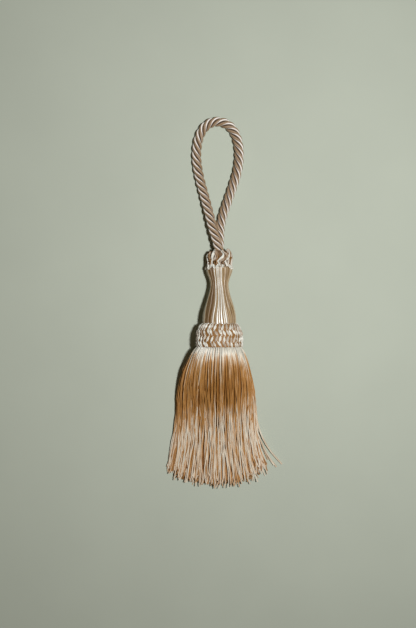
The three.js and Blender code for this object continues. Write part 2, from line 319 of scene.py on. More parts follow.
# Millimetres: how thick a layer is, and how far locks and threads wave up and down and sideways.
LAYER_DEPTH = 0.45
WAVE_UP = 0.3
WAVE_ACROSS = 0.28
# The threads' thickness as a share of its full size, at distances in mm down the table.
SWELL_DOWNS = [5, 25, 60, 76, 90]
SWELL_LEVELS = [0.95, 1.05, 1.15, 1.1, 0.9]
# Millimetres: how far the loosest threads at the right swing out at their tips, where down the
# table they begin to, and how deep in the body threads no longer do.
SPLAY = 9.0
SPLAY_FROM = 46
SPLAY_DEPTH = 3
# How pale the threads are, at distances in mm down the table: 0 is dark and 1 is silver. These
# levels paint light: a painted highlight just under the collar, painted shade in the band where the
# threads fall most steeply, and paler painted light towards the tips.
TONE_DOWNS = [5, 7.2, 9.2, 11.6, 15, 21, 28, 33, 37, 42, 49, 58, 90]
TONE_LEVELS = [1.08, 1.05, 0.85, 0.45, 0.34, 0.27, 0.2, 0.18, 0.22, 0.34, 0.47, 0.57, 0.53]
TONE_SPREADS = [0.06, 0.08, 0.15, 0.16, 0.15, 0.13, 0.13, 0.13, 0.13, 0.14, 0.14, 0.14, 0.15]
# How far in mm the edge of a painted band of light or shade moves from thread to thread, at
# distances in mm down the table.
EDGE_DOWNS = [5, 20, 60]
EDGE_SHIFTS = [1.5, 4, 7]
# How far in mm the painted bands in the lower half rise for each mm to the right, so that the
# painted shade reaches further down on the left, away from the key light.
PAINTED_SHADE_SLANT = 0.22
# The palest that a thread gets: the silver painted highlight only close to the collar.
PALEST_DOWNS = [14, 20]
PALEST_LEVELS = [1.0, 0.6]
# The share of a layer's painted shade that is left, at distances in mm down the table.
SHADE_DOWNS = [76, 88]
SHADE_SHARES = [1.0, 0.6]
# Each layer's threads, how far in mm it lies under the body's face, its seed, and its painted
# shade, which is added to the tone of its threads: deeper layers are painted darker.
SKIRT_LAYERS = {
    "skirt_outer_threads": [
        (80, 0.0, 41, 0.04),
        (140, 0.5, 42, -0.04),
        (190, 1.2, 43, -0.28),
        (210, 2.1, 47, -0.55),
    ],
    "skirt_inner_threads": [
        (180, 3.0, 44, -0.4),
        (150, 4.6, 45, -0.45),
        (110, 6.8, 46, -0.45),
    ],
}
# Threads that leave the skirt at its right: how much thicker than the others they are, their tone,
# and their middle lines in mm, in the row frame.
STRAY_SWELL = 1.35
STRAY_TONE = 0.56
STRAY_ROUTES = [
    [
        (10.6, -4.6, 13.2),
        (13.4, -10.0, 12.0),
        (16.4, -22.0, 8.0),
        (19.2, -36.0, 4.6),
        (21.6, -50.0, 3.4),
        (23.4, -57.0, 2.8),
        (26.4, -64.0, 2.2),
        (30.6, -70.6, 1.5),
        (36.6, -77.7, 0.5),
    ],
    [
        (9.8, -4.6, 14.2),
        (12.6, -10.0, 13.0),
        (15.6, -22.0, 9.4),
        (18.2, -36.0, 6.0),
        (20.2, -50.0, 4.4),
        (22.2, -58.0, 3.6),
        (25.4, -66.4, 2.6),
        (29.2, -73.4, 1.6),
        (33.4, -79.4, 0.6),
    ],
]


def length_setting(name, description, default):
    """A setting in metres."""
    return FloatProperty(name=name, description=description, default=default, unit="LENGTH")


def count_setting(name, description, default):
    """A setting that counts something."""
    return IntProperty(name=name, description=description, default=default)


def colour_setting(name, description, default):
    """A setting for a colour."""
    return FloatVectorProperty(
        name=name, description=description, default=default, subtype="COLOR"
    )


class TasselSizes(bpy.types.PropertyGroup):
    """Sizes of the cord, the threads, the stitches and the stage."""

    cord_diameter: length_setting("Cord diameter", "Thickness of the loop's laid cord", 0.0053)
    cord_lay: length_setting("Cord lay", "Length of one full turn of a ply", 0.0157)
    cord_plies: count_setting("Cord plies", "Plies laid together", 4)
    head_threads: count_setting("Head threads", "Threads laid round the head", 132)
    collar_stitches: count_setting("Collar stitches", "Stitches in each row of the collar", 35)
    collar_rows: count_setting("Collar rows", "Rows of stitches", 4)
    crown_loops: count_setting("Crown loops", "Gimp loops in the crown", 9)
    thread_thickness: length_setting("Thread thickness", "Thickness of a loose thread", 0.0007)
    stage_width: length_setting("Stage width", "Side of the plain floor", 1.6)


class TasselColours(bpy.types.PropertyGroup):
    """Colours of the threads and of the floor."""

    # Painted shade: the darkest cord colour is laid in the grooves between plies and the seams
    # between yarns.
    cord_groove_shade: colour_setting("Dark cord", "Between the yarns of the loop", (0.025, 0.012, 0.004))
    cord: colour_setting("Cord", "Shaded yarns of the loop", (0.31, 0.195, 0.1))
    cord_pale: colour_setting("Pale cord", "Paler yarns of the loop", (0.93, 0.89, 0.85))
    # Painted shade: the ring behind the crown's loops and the small inner loops take this dark
    # colour for the shade there.
    gimp_painted_shade: colour_setting("Dark gimp", "Behind the loops of the crown", (0.11, 0.05, 0.01))
    gimp: colour_setting("Gimp", "Shaded gimp of the crown and collar", (0.25, 0.11, 0.014))
    gimp_pale: colour_setting("Pale gimp", "Paler gimp of the crown and collar", (0.79, 0.79, 0.72))
    satin_dark: colour_setting("Dark satin", "Shaded threads of the head", (0.14, 0.065, 0.014))
    satin: colour_setting("Satin", "Threads of the head", (0.42, 0.28, 0.12))
    satin_pale: colour_setting("Pale satin", "Paler threads of the head", (0.84, 0.84, 0.78))
    thread_dark: colour_setting("Dark thread", "Shaded loose threads", (0.21, 0.075, 0.006))
    thread: colour_setting("Thread", "Loose threads", (0.46, 0.225, 0.06))
    thread_pale: colour_setting("Pale thread", "Paler loose threads", (0.75, 0.69, 0.57))
    # Painted highlight: the threads just under the collar take this pale, neutral colour for the
    # sheen of the light there.
    thread_painted_highlight: colour_setting("Silver thread", "Threads under the collar", (0.46, 0.44, 0.365))
    floor: colour_setting("Floor", "Plain floor", (0.45, 0.49, 0.412))


def on_axis(points):
    """Points given in mm as across, along and upright of the head's axis, in the row frame."""
    lean = np.array(Matrix.Rotation(-LEAN, 3, "X"))
    placed = np.asarray(points, float) @ lean.T + np.array([0, 0, COLLAR_HEIGHT])
    return placed * MM


def axis_ring(angle, along, radius):
    """Points round the head's axis in mm, with angle 0 at the top and rising to the right."""
    return np.stack([radius * np.sin(angle), along, radius * np.cos(angle)], axis=-1)


def rest_on_table(points):
    """The points, none of them lower than just over the table."""
    points[..., 2] = np.maximum(points[..., 2], TABLE_GAP)
    return points


def rising(values, low, high):
    """How far values have come from the low one to the high one, from 0 to 1."""
    return np.clip((values - low) / (high - low), 0, 1)


def smooth_route(points, count):
    """Evenly spaced points on one smooth line through the given ones."""
    given = np.array(points, float)
    given = np.vstack([2 * given[0] - given[1], given, 2 * given[-1] - given[-2]])
    fine = []
    for a, b, c, d in zip(given, given[1:], given[2:], given[3:]):
        for t in np.linspace(0, 1, 40, endpoint=False):
            bend = (2 * a - 5 * b + 4 * c - d) * t**2 + (3 * b - a - 3 * c + d) * t**3
            fine.append((2 * b + (c - a) * t + bend) / 2)
    fine = np.vstack([fine, given[-2]])
    gone = np.concatenate([[0], np.cumsum(np.linalg.norm(np.diff(fine, axis=0), axis=1))])
    even = np.linspace(0, gone[-1], count)
    return np.stack([np.interp(even, gone, fine[:, k]) for k in range(3)], axis=1)


def route_frames(route, upright):
    """Unit vectors across and over a line, at each of its points."""
    forward = np.gradient(route, axis=0)
    forward /= np.linalg.norm(forward, axis=1, keepdims=True)
    across = np.cross(forward, upright)
    across /= np.linalg.norm(across, axis=1, keepdims=True)
    return across, np.cross(across, forward)


def tube_faces(tubes, rings, sides):
    """Corner numbers of the side faces and end caps of tubes that stand one after another."""
    ring, side = np.meshgrid(np.arange(rings - 1) * sides, np.arange(sides), indexing="ij")
    after = (side + 1) % sides
    corners = (ring + side, ring + after, ring + sides + after, ring + sides + side)
    quad = np.stack(corners, axis=-1).reshape(-1, 4)
    first_cap = np.arange(sides)[::-1]
    last_cap = (rings - 1) * sides + np.arange(sides)
    start = np.arange(tubes)[:, None, None] * rings * sides
    quads = (quad[None] + start).reshape(-1, 4)
    caps = (np.stack([first_cap, last_cap])[None] + start).reshape(-1, sides)
    return quads, caps


def put_in_scene(name, mesh):
    """A new object of the mesh, selected alone."""
    piece = bpy.data.objects.new(name, mesh)
    bpy.context.scene.collection.objects.link(piece)
    bpy.ops.object.select_all(action="DESELECT")
    bpy.context.view_layer.objects.active = piece
    piece.select_set(True)
    return piece


def map_and_tone(mesh, corner_places, tone):
    """Gives the mesh its map along the threads, and each of its points a tone."""
    layer = mesh.uv_layers.new(name="lay")
    layer.data.foreach_set("uv", np.asarray(corner_places, np.float32).ravel())
    attribute = mesh.attributes.new("tone", "FLOAT", "POINT")
    attribute.data.foreach_set("value", np.asarray(tone, np.float32))


def tube_piece(name, rings, places, tone):
    """A mesh object of tubes, from the rings of each in metres, with its place in its mesh."""
    tubes, steps, sides = rings.shape[:3]
    quads, caps = tube_faces(tubes, steps, sides)
    corners = np.concatenate([quads.ravel(), caps.ravel()])
    sizes = np.concatenate([np.full(len(quads), 4), np.full(len(caps), sides)])
    starts = np.concatenate([[0], np.cumsum(sizes)[:-1]])
    points = rest_on_table(rings.reshape(-1, 3))
    mesh = bpy.data.meshes.new(name)
    mesh.vertices.add(len(points))
    mesh.vertices.foreach_set("co", points.astype(np.float32).ravel())
    mesh.loops.add(len(corners))
    mesh.loops.foreach_set("vertex_index", corners.astype(np.int32))
    mesh.polygons.add(len(sizes))
    mesh.polygons.foreach_set("loop_start", starts.astype(np.int32))
    mesh.update(calc_edges=True)
    mesh.validate()
    map_and_tone(mesh, places.reshape(-1, 2)[corners], tone.ravel())
    piece = put_in_scene(name, mesh)
    bpy.ops.object.shade_smooth_by_angle(angle=TUBE_EDGE)
    return piece


def gimp_section(points_per_ply):
    """Angle and radius round two plies twisted together, for gimp with a radius of 1."""
    ply = 0.5
    least = 0.25 * ply
    half = math.pi / 2
    rows = []
    for number in range(2):
        for step in range(points_per_ply):
            turn = -half + 2 * half * step / points_per_ply
            reach = max(ply**2 - (ply * math.sin(turn)) ** 2, least**2)
            rows.append((2 * half * number + turn, ply * math.cos(turn) + math.sqrt(reach)))
    return np.array(rows)


def cord_section(plies, points_per_ply, radius):
    """Angle, radius and tone round the cord: each round ply has a pale yarn along one side, and the
    tone paints shade in the grooves between plies and in the seam between yarns.
    """
    half = math.pi / plies
    ply = (1 - PLY_MIDDLE) * radius
    least = 0.3 * ply
    rows = []
    for number in range(plies):
        for step in range(points_per_ply):
            part = (step + 0.5) / points_per_ply
            turn = half * (2 * part - 1)
            aside = PLY_MIDDLE * radius * math.sin(turn)
            reach = math.sqrt(max(ply**2 - aside**2, least**2))
            seam = math.exp(-(((part - 1 + PALE_YARN_SHARE) / SEAM_WIDTH) ** 2))
            reach += PLY_MIDDLE * radius * math.cos(turn) - SEAM_DEPTH * radius * seam
            # Painted shade: the tone fades to dark in the grooves between plies and in the seam.
            from_groove = min(part, 1 + PALE_OVERHANG - part) - GROOVE_SHARE
            lit = min(1, max(0, from_groove / GROOVE_FADE)) * (1 - SEAM_SHADE * seam)
            tone = 1.0 if part > 1 - PALE_YARN_SHARE else SHADED_YARN_TONE
            rows.append((FULL_TURN * number / plies + turn, reach, tone * lit))
    return np.array(rows)


def laid_tube(route, upright, section, turns):
    """Rings of a cord whose section turns left-handed along its route, and the places of the rings'
    points on a map."""
    across, over = route_frames(route, upright)
    count = len(route)
    twist = -turns * FULL_TURN * np.linspace(0, 1, count)
    angle = section[None, :, 0] + twist[:, None]
    reach = section[None, :, 1, None]
    rings = route[:, None] + reach * (
        np.sin(angle)[..., None] * across[:, None] + np.cos(angle)[..., None] * over[:, None]
    )
    gone = np.concatenate([[0], np.cumsum(np.linalg.norm(np.diff(route, axis=0), axis=1))])
    places = np.zeros((count, len(section), 2))
    places[..., 0] = section[None, :, 0] / FULL_TURN
    places[..., 1] = gone[:, None]
    return rings, places


def seeded(seed):
    """Random draws that are the same in each run."""
    return np.random.default_rng(seed)


def new_material(name, colour, roughness):
    """A plain material, its nodes and its shader."""
    material = bpy.data.materials.new(name)
    material.use_nodes = True
    shader = material.node_tree.nodes["Principled BSDF"]
    shader.inputs["Base Color"].default_value = (*colour, 1)
    shader.inputs["Roughness"].default_value = roughness
    return material, material.node_tree, shader


def add_node(tree, kind, **settings):
    """A new node with the given settings."""
    node = tree.nodes.new(kind)
    for key, value in settings.items():
        setattr(node, key, value)
    return node


def streaks(tree, source, scale, detail=2.0):
    """Fine noise drawn out along a piece, from its map or its place."""
    mapping = add_node(tree, "ShaderNodeMapping")
    mapping.inputs["Scale"].default_value = scale
    noise = add_node(tree, "ShaderNodeTexNoise")
    noise.inputs["Scale"].default_value = 1.0
    noise.inputs["Detail"].default_value = detail
    tree.links.new(source, mapping.inputs["Vector"])
    tree.links.new(mapping.outputs["Vector"], noise.inputs["Vector"])
    return noise.outputs["Fac"]


def mix_colours(tree, factor, *colours):
    """Colours evenly spaced along a factor from 0 to 1."""
    ramp = add_node(tree, "ShaderNodeValToRGB")
    points = ramp.color_ramp.elements
    while len(points) < len(colours):
        points.new(0.5)
    for number, colour in enumerate(colours):
        points[number].position = number / (len(colours) - 1)
        points[number].color = (*colour, 1)
    tree.links.new(factor, ramp.inputs["Fac"])
    return ramp.outputs["Color"]


def spread(tree, value, low, high, to_low, to_high):
    """A value moved from one range into another."""
    node = add_node(tree, "ShaderNodeMapRange")
    node.inputs["From Min"].default_value = low
    node.inputs["From Max"].default_value = high
    node.inputs["To Min"].default_value = to_low
    node.inputs["To Max"].default_value = to_high
    tree.links.new(value, node.inputs["Value"])
    return node.outputs["Result"]


def silk_finish(
    name,
    colours,
    roughness,
    streak_scale,
    relief_scale,
    relief_depth,
    gloss,
    drawn=0.3,
    dull=0.2,
):
    """Lustrous thread: its tone and streaks of filament choose between its colours, and its white
    gloss is drawn out across the thread and duller where the thread is dark."""
    material, tree, shader = new_material(name, colours[0], roughness)
    place = add_node(tree, "ShaderNodeTexCoord")
    filament = streaks(tree, place.outputs["UV"], streak_scale)
    attribute = add_node(tree, "ShaderNodeAttribute", attribute_name="tone")
    blend = add_node(tree, "ShaderNodeMath", operation="MULTIPLY_ADD")
    blend.inputs[1].default_value = STREAK_SHARE
    moved = spread(tree, filament, low=0.3, high=0.7, to_low=-0.5, to_high=0.5)
    tree.links.new(moved, blend.inputs[0])
    tree.links.new(attribute.outputs["Fac"], blend.inputs[2])
    shade = blend.outputs["Value"]
    tree.links.new(mix_colours(tree, shade, *colours), shader.inputs["Base Color"])
    duller = spread(tree, shade, low=0.0, high=0.9, to_low=roughness + dull, to_high=roughness)
    tree.links.new(duller, shader.inputs["Roughness"])
    twist = streaks(tree, place.outputs["UV"], relief_scale, detail=1.0)
    relief = add_node(tree, "ShaderNodeBump")
    relief.inputs["Strength"].default_value = 1.0
    relief.inputs["Distance"].default_value = relief_depth
    tree.links.new(twist, relief.inputs["Height"])
    tree.links.new(relief.outputs["Normal"], shader.inputs["Normal"])
    shader.inputs["IOR"].default_value = gloss
    shader.inputs["Specular IOR Level"].default_value = GLOSS_LEVEL
    shader.inputs["Anisotropic"].default_value = drawn
    shader.inputs["Anisotropic Rotation"].default_value = GLOSS_TURN
    tangent = add_node(tree, "ShaderNodeTangent", direction_type="UV_MAP", uv_map="lay")
    tree.links.new(tangent.outputs["Tangent"], shader.inputs["Tangent"])
    return material


def dress(piece, material, node):
    """Gives the piece its material, hangs it from the root body and hides the solid it stands for.
    """
    piece.data.materials.append(material)
    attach(piece, "root")
    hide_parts(node)


class TASSEL_OT_stage(bpy.types.Operator):
    """Adds the camera, a plain floor and studio light"""

    bl_idname = "tassel.stage"
    bl_label = "Stage"

    def execute(self, context):
        sizes = context.scene.tassel_sizes
        colours = context.scene.tassel_colours
        bpy.ops.object.select_all(action="DESELECT")
        tilt = (math.radians(CAMERA_TILT), 0, 0)
        bpy.ops.object.camera_add(location=CAMERA_PLACE, rotation=tilt)
        camera = context.object
        camera.name = "stage_camera"
        camera.data.lens = 50
        camera.data.sensor_width = 36
        camera.data.clip_start = 0.01
        context.scene.camera = camera

        bpy.ops.mesh.primitive_plane_add(size=sizes.stage_width, location=(0, 0, FLOOR_HEIGHT))
        floor = context.object
        floor.name = "stage_floor"
        bpy.ops.object.transform_apply(location=True, rotation=True, scale=True)
        material, tree, shader = new_material("plain floor", colours.floor, 0.85)
        place = add_node(tree, "ShaderNodeTexCoord")
        mottle = streaks(tree, place.outputs["Object"], (18, 18, 18), detail=4.0)
        shades = [[min(1, part * share) for part in colours.floor] for share in FLOOR_MOTTLE]
        tree.links.new(mix_colours(tree, mottle, *shades), shader.inputs["Base Color"])
        floor.data.materials.append(material)

        for name, place, size, power, colour in STUDIO_LIGHTS:
            bpy.ops.object.light_add(type="AREA", location=place)
            light = context.object
            light.name = name
            light.data.shape = "DISK"
            light.data.size = size
            light.data.energy = power
            light.data.color = colour
            aim = Vector(LIGHTS_AIM) - light.location
            light.rotation_euler = aim.to_track_quat("-Z", "Y").to_euler()
        world = bpy.data.worlds.new("studio")
        world.use_nodes = True
        world.node_tree.nodes["Background"].inputs["Color"].default_value = (*WARM_LIGHT, 1)
        world.node_tree.nodes["Background"].inputs["Strength"].default_value = ROOM_LIGHT
        context.scene.world = world
        context.scene.view_settings.view_transform = "Standard"
        return {"FINISHED"}


class TASSEL_OT_loop(bpy.types.Operator):
    """Lays the plies of the cord along the route of the hanging loop"""

    bl_idname = "tassel.loop"
    bl_label = "Loop"

    def execute(self, context):
        sizes = context.scene.tassel_sizes
        colours = context.scene.tassel_colours
        route = smooth_route(CORD_ROUTE, count=521) * MM
        length = float(np.linalg.norm(np.diff(route, axis=0), axis=1).sum())
        radius = sizes.cord_diameter / 2
        section = cord_section(sizes.cord_plies, points_per_ply=20, radius=radius)
        rings, places = laid_tube(route, (0, 0, 1), section, length / sizes.cord_lay)
        tone = np.broadcast_to(section[None, :, 2], rings.shape[:2])
        piece = tube_piece("loop_cord_plies", rings[None], places, tone)
        finish = silk_finish(
            "cord silk",
            (colours.cord_groove_shade, colours.cord, colours.cord_pale),
            roughness=0.45,
            streak_scale=(60, 120, 1),
            relief_scale=(90, 900, 1),
            relief_depth=0.00006,
            gloss=1.5,
            drawn=0.5,
        )
        dress(piece, finish, "loop_cord")
        return {"FINISHED"}


def spun_piece(name, profile, steps, shape):
    """A closed profile in mm, along and from the head's axis, spun round it. shape(angle, along,
    radius) gives each point's new radius and its tone."""
    mesh = bpy.data.meshes.new(name)
    mesh.from_pydata(
        [(0, along, radius) for along, radius in profile],
        [(i, (i + 1) % len(profile)) for i in range(len(profile))],
        [],
    )
    piece = put_in_scene(name, mesh)
    bpy.ops.object.mode_set(mode="EDIT")
    bpy.ops.mesh.select_all(action="SELECT")
    bpy.ops.mesh.spin(steps=steps, angle=FULL_TURN, center=(0, 0, 0), axis=(0, 1, 0))
    bpy.ops.mesh.select_all(action="SELECT")
    bpy.ops.mesh.remove_doubles(threshold=0.0005)
    bpy.ops.mesh.normals_make_consistent(inside=False)
    bpy.ops.object.mode_set(mode="OBJECT")
    points = np.zeros(len(mesh.vertices) * 3)
    mesh.vertices.foreach_get("co", points)
    across, along, upright = points.reshape(-1, 3).T
    angle = np.arctan2(across, upright)
    radius, tone = shape(angle, along, np.hypot(across, upright))
    placed = rest_on_table(on_axis(axis_ring(angle, along, radius)))
    mesh.vertices.foreach_set("co", placed.astype(np.float32).ravel())
    corners = np.zeros(len(mesh.loops), np.int32)
    mesh.loops.foreach_get("vertex_index", corners)
    places = np.stack([angle / FULL_TURN, along * MM], axis=1)
    map_and_tone(mesh, places[corners], tone)
    mesh.update()
    bpy.ops.object.shade_smooth_by_angle(angle=SPUN_EDGE)
    return piece


def head_shape(random, threads):
    """The shape of the head's bands: each has its own height and tone, with fine threads on it. The
    tone
    paints light: a highlight or shade by the band's zone, and painted shade in the grooves.
    """
    depth = random.uniform(*BAND_SINKS, HEAD_BANDS)
    shift = random.uniform(-0.3, 0.3, HEAD_BANDS)
    middle = (np.arange(HEAD_BANDS) + 0.5) / HEAD_BANDS * FULL_TURN
    middle = (middle + math.pi) % FULL_TURN - math.pi
    zone = np.searchsorted(HEAD_ZONES, middle)
    band_tone = np.array([random.choice(HEAD_ZONE_LIGHT_TONES[number]) for number in zone])
    phases = random.uniform(0, FULL_TURN, len(HEAD_DRIFTS))
    foot = HEAD_PROFILE[0][0]
    top = HEAD_PROFILE[-1][0]

    def shape(angle, along, radius):
        drift = HEAD_SLANT * (along - HEAD_SLANT_FROM)
        for (reach, pace, round_it), phase in zip(HEAD_DRIFTS, phases):
            drift = drift + reach * np.sin(along * pace + phase + round_it * angle)
        turn = ((angle + drift) / FULL_TURN) % 1
        place = turn * HEAD_BANDS
        number = np.floor(place).astype(int) % HEAD_BANDS
        part = place - np.floor(place)
        part = np.clip(part + shift[number] * part * (1 - part), 0, 1)
        band = np.sin(math.pi * part) ** 0.5
        thread = np.abs(np.sin(math.pi * turn * threads))
        sunk = BAND_GROOVE * (1 - band) + depth[number] * band + THREAD_GROOVE * (1 - thread)
        relief = np.clip((along - foot) / 2, 0.3, 1) * np.clip((top - along) / 1.2, 0.3, 1)
        # Painted shade: the tone falls to dark in the grooves between bands and between threads.
        tone = band**2 * band_tone[number] + 0.1 * (thread - 1)
        on_side = radius > 2 * HEAD_CORE
        return np.where(on_side, radius + BAND_RISE - sunk * relief, radius), tone

    return shape


class TASSEL_OT_head(bpy.types.Operator):
    """Spins the baluster and raises its satin threads in uneven bands"""

    bl_idname = "tassel.head"
    bl_label = "Head"

    def execute(self, context):
        sizes = context.scene.tassel_sizes
        colours = context.scene.tassel_colours
        side = smooth_route([(along, radius, 0) for along, radius in HEAD_PROFILE], count=64)
        foot = (HEAD_PROFILE[0][0], HEAD_CORE)
        top = (HEAD_PROFILE[-1][0], HEAD_CORE)
        profile = [foot, *side[:, :2], top]
        shape = head_shape(seeded(3), sizes.head_threads)
        piece = spun_piece("head_threads", profile, 6 * sizes.head_threads, shape)
        finish = silk_finish(
            "satin thread",
            (colours.satin_dark, colours.satin, colours.satin_pale),
            roughness=0.36,
            streak_scale=(80, 18, 1),
            relief_scale=(60, 1100, 1),
            relief_depth=0.0001,
            gloss=1.85,
            drawn=0.8,
            dull=0.3,
        )
        dress(piece, finish, "head")
        return {"FINISHED"}


def stitched_piece(name, paths, radius, points_per_ply, turns):
    """Short lengths of two-ply gimp along paths in mm, each with the way it faces and its tone."""
    section = gimp_section(points_per_ply)
    all_rings, all_places, all_tones = [], [], []
    for number, (path, outward, tone) in enumerate(paths):
        rings, places = laid_tube(path, outward, section, turns)
        centre = path[:, None]
        thickness = radius * (0.9 + 0.2 * (number * MAP_STEP % 1))
        taper = np.sin(math.pi * np.linspace(0.12, 0.88, len(path))) ** 0.5
        rings = centre + (rings - centre) * (thickness * taper)[:, None, None]
        all_rings.append(on_axis(rings))
        all_places.append(places + np.array([number * MAP_STEP, 0]))
        all_tones.append(np.broadcast_to(np.reshape(tone, (-1, 1)), rings.shape[:2]))
    return tube_piece(name, np.array(all_rings), np.array(all_places), np.array(all_tones))


def collar_stitch_paths(rows, columns):
    """Paths of the collar's slanting stitches in mm, each with the way it faces and its tone."""
    random = seeded(11)
    face_along, face_radius = zip(*COLLAR_FACE)
    pitch = FULL_TURN / columns
    height = STITCHES_TALL / rows
    steps = np.linspace(0, 1, 8)
    bulge = np.sin(math.pi * steps) ** 0.8
    paths = []
    for row in range(rows):
        for column in range(columns):
            slant = (1 if row % 2 else -1) * random.uniform(*STITCH_SLANTS)
            place = column + random.uniform(-STITCH_SHUFFLE, STITCH_SHUFFLE)
            angle = pitch * (place + slant * (steps - 0.5))
            stray = random.uniform(-STITCH_STRAY, STITCH_STRAY)
            middle = STITCHES_TOP - height * (row + 0.5) + stray
            along = np.maximum(middle - (steps - 0.5) * height * STITCH_OVERLAP, STITCHES_END)
            radius = np.interp(along, face_along, face_radius) - STITCH_SINK
            radius = radius + random.uniform(*STITCH_RISES) * bulge
            if row == rows - 1:
                radius = radius - LAST_ROW_TUCK * rising(steps, 0.75, 1)
            outward = axis_ring(angle.mean(), 0.0, 1.0)
            paths.append((axis_ring(angle, along, radius), outward, random.uniform(*STITCH_TONES)))
    return paths


class TASSEL_OT_collar(bpy.types.Operator):
    """Spins the band round the head's shoulder and sets slanting stitches on it"""

    bl_idname = "tassel.collar"
    bl_label = "Collar"

    def execute(self, context):
        sizes = context.scene.tassel_sizes
        colours = context.scene.tassel_colours
        shades = (colours.gimp, colours.gimp_pale)
        profile = [*COLLAR_FOOT, *COLLAR_FACE, *COLLAR_TOP]

        def shape(angle, along, radius):
            return radius, 0 * radius

        band = spun_piece("collar_band", profile, 4 * sizes.collar_stitches, shape)
        under = silk_finish(
            "gimp shade",
            shades,
            roughness=0.55,
            streak_scale=(120, 900, 1),
            relief_scale=(120, 900, 1),
            relief_depth=0.00006,
            gloss=1.5,
        )
        dress(band, under, "collar")

        paths = collar_stitch_paths(sizes.collar_rows, sizes.collar_stitches)
        name = "collar_stitches"
        stitches = stitched_piece(name, paths, radius=0.72, points_per_ply=4, turns=-0.55)
        finish = silk_finish(
            "gimp silk",
            shades,
            roughness=0.45,
            streak_scale=(30, 8, 1),
            relief_scale=(30, 12, 1),
            relief_depth=0.00004,
            gloss=1.55,
        )
        dress(stitches, finish, "collar")
        return {"FINISHED"}


def legs_way(angle):
    """Radius in mm of the way through the crown that takes both legs of the loop."""
    across = np.abs(np.sin(angle))
    upright = np.abs(np.cos(angle))
    side = WAY_HALF_WIDTH / np.maximum(across, 1e-6)
    aside = LEGS_HALF_APART * across
    end = LEGS_HALF_APART * upright + np.sqrt(np.maximum(WAY_HALF_WIDTH**2 - aside**2, 0))
    return np.where(upright * WAY_HALF_WIDTH < aside, side, end)


def gather_paths(random, loops):
    """Paths of the crown's gathers in mm, each with the way it faces and the tones along it."""
    pitch = FULL_TURN / loops
    steps = np.linspace(0, 1, 21)
    up = np.sin(math.pi * steps) ** 0.6
    belly = np.sin(math.pi * up * 0.85 + 0.2)
    paths = []
    for number in range(loops):
        shuffle = random.uniform(-GATHER_SHUFFLE, GATHER_SHUFFLE)
        middle = pitch * (number + FIRST_GATHER + shuffle)
        outward = axis_ring(middle, 0.0, 1.0)
        top = random.uniform(*GATHER_TOPS) + (TALL_GATHER_MORE if number == TALL_GATHER else 0)
        for size, rise, inset, tones in GATHER_LOOPS:
            sway = pitch * random.uniform(-GATHER_SWAY, GATHER_SWAY)
            half_width = size * pitch * random.uniform(*GATHER_HALF_WIDTHS)
            angle = middle - half_width * np.cos(math.pi * steps) + sway * np.sin(FULL_TURN * up)
            along = GATHER_FOOT + (top - GATHER_FOOT) * rise * up
            radius = GATHER_RADIUS - inset + GATHER_BELLY * belly * random.uniform(0.9, 1.1)
            radius = radius + GATHER_FLARE * np.clip(1 - 3 * up, 0, 1)
            tone = random.uniform(*tones) + 0.25 * np.cos(math.pi * steps)
            paths.append((axis_ring(angle, along, radius), outward, tone))
    return paths


def rim_stitch_paths(random):
    """Paths of the short stitches at the head's rim, each with the way it faces and its tone."""
    pitch = FULL_TURN / RIM_STITCHES
    steps = np.linspace(0, 1, 21)
    paths = []
    for number in range(RIM_STITCHES):
        angle = pitch * (number + random.uniform(-RIM_SHUFFLE, RIM_SHUFFLE))
        slant = pitch * random.uniform(*RIM_SLANTS)
        along = RIM_STITCH_TOP - random.uniform(*RIM_STITCH_LENGTHS) * steps
        radius = np.interp(along, RIM_FACE_ALONG, RIM_FACE_RADIUS) - RIM_STITCH_SINK
        path = axis_ring(angle + slant * steps, along, radius)
        paths.append((path, axis_ring(angle, 0.0, 1.0), random.uniform(*RIM_TONES)))
    return paths


class TASSEL_OT_crown(bpy.types.Operator):
    """Spins the ring round the cord's legs and sets gathers and rim stitches of gimp on it"""

    bl_idname = "tassel.crown"
    bl_label = "Crown"

    def execute(self, context):
        sizes = context.scene.tassel_sizes
        colours = context.scene.tassel_colours
        shades = (colours.gimp_painted_shade, colours.gimp, colours.gimp_pale)

        # Painted shade: the ring under the gathers takes the darkest colour, for the shade behind
        # the loops.
        def shape(angle, along, radius):
            return np.where(radius < WAY_WITHIN, legs_way(angle), radius), 0 * radius

        ring = spun_piece("crown_ring", CROWN_RING, 8 * sizes.crown_loops, shape)
        under = silk_finish(
            "gathered shade",
            shades,
            roughness=0.55,
            streak_scale=(60, 900, 1),
            relief_scale=(60, 900, 1),
            relief_depth=0.00006,
            gloss=1.5,
        )
        dress(ring, under, "crown")

        random = seeded(23)
        paths = gather_paths(random, sizes.crown_loops) + rim_stitch_paths(random)
        gathers = stitched_piece("crown_gathers", paths, radius=0.9, points_per_ply=5, turns=-1.6)
        finish = silk_finish(
            "gathered silk",
            shades,
            roughness=0.45,
            streak_scale=(30, 8, 1),
            relief_scale=(30, 12, 1),
            relief_depth=0.00004,
            gloss=1.45,
        )
        dress(gathers, finish, "crown")
        return {"FINISHED"}


def skirt_section(down):
    """The body's sizes at distances down the table, straight from one section to the next."""
    table = np.array(SKIRT_SECTIONS)
    found = {}
    for column, key in enumerate(SKIRT_COLUMNS[1:], start=1):
        found[key] = np.interp(down, table[:, 0], table[:, column])
    return found


def skirt_outline(section, points=160):
    """The body's outline at each section, as right of centre and height, clockwise from its top."""
    turn = np.linspace(0, FULL_TURN, points + 1)[None, :]
    upper = np.cos(turn) > 0
    arch = 2 / section["arch"][:, None]
    base = 2 / section["base"][:, None]
    power = np.where(upper, arch, base)
    across = np.sign(np.sin(turn)) * np.abs(np.sin(turn)) ** power
    upright = np.abs(np.cos(turn)) ** power
    far_side = np.where(upper, section["top"][:, None], section["low"][:, None])
    widest = section["widest"][:, None]
    half = np.where(across < 0, section["left"][:, None], section["right"][:, None])
    return across * half, widest + (far_side - widest) * upright


